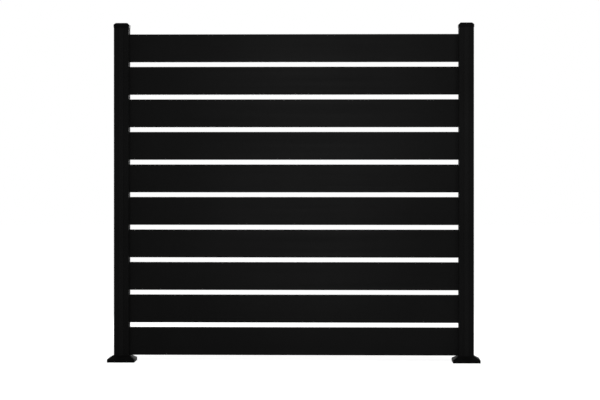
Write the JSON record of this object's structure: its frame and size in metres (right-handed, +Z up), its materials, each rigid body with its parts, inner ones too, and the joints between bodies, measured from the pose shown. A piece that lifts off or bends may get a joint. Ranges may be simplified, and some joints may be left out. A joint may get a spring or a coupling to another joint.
{
  "type": "garden privacy screen",
  "caption": "Free-standing garden privacy screen: horizontal dark slats between two square posts with caps and covered base plates.",
  "frame": {"origin": "centre of the footprint, on the ground", "axes": "+X along the screen to the right as the picture shows it, +Y through the screen to its back, +Z up"},
  "size_m": [1.997, 0.147, 1.82],
  "materials": {
    "slats": "satin powder coat on aluminium",
    "posts": "satin powder coat on aluminium",
    "slot_strips": "satin powder coat on aluminium",
    "caps": "moulded, fine grain",
    "base_covers": "moulded, fine grain",
    "spacers": "extruded, matt",
    "gaskets": "matt rubber",
    "steel": "zinc plated"
  },
  "bodies": {
    "root": {"slat_01": "slats", "slat_02": "slats", "slat_03": "slats", "slat_04": "slats", "slat_05": "slats", "slat_06": "slats", "slat_07": "slats", "slat_08": "slats", "slat_09": "slats", "slat_10": "slats", "left_post": "posts", "left_post_cap": "caps", "left_base_cover": "base_covers", "left_base_plate": "steel", "left_post_screws": "steel", "left_slot_strip_front": "slot_strips", "left_slot_strip_back": "slot_strips", "left_slot_strip_outer": "slot_strips", "left_gasket_front": "gaskets", "left_gasket_back": "gaskets", "left_foot_spacer": "spacers", "left_spacer_01": "spacers", "left_spacer_02": "spacers", "left_spacer_03": "spacers", "left_spacer_04": "spacers", "left_spacer_05": "spacers", "left_spacer_06": "spacers", "left_spacer_07": "spacers", "left_spacer_08": "spacers", "left_spacer_09": "spacers", "left_top_filler": "spacers", "right_post": "posts", "right_post_cap": "caps", "right_base_cover": "base_covers", "right_base_plate": "steel", "right_post_screws": "steel", "right_slot_strip_front": "slot_strips", "right_slot_strip_back": "slot_strips", "right_slot_strip_outer": "slot_strips", "right_gasket_front": "gaskets", "right_gasket_back": "gaskets", "right_foot_spacer": "spacers", "right_spacer_01": "spacers", "right_spacer_02": "spacers", "right_spacer_03": "spacers", "right_spacer_04": "spacers", "right_spacer_05": "spacers", "right_spacer_06": "spacers", "right_spacer_07": "spacers", "right_spacer_08": "spacers", "right_spacer_09": "spacers", "right_top_filler": "spacers"}
  },
  "joints": []
}
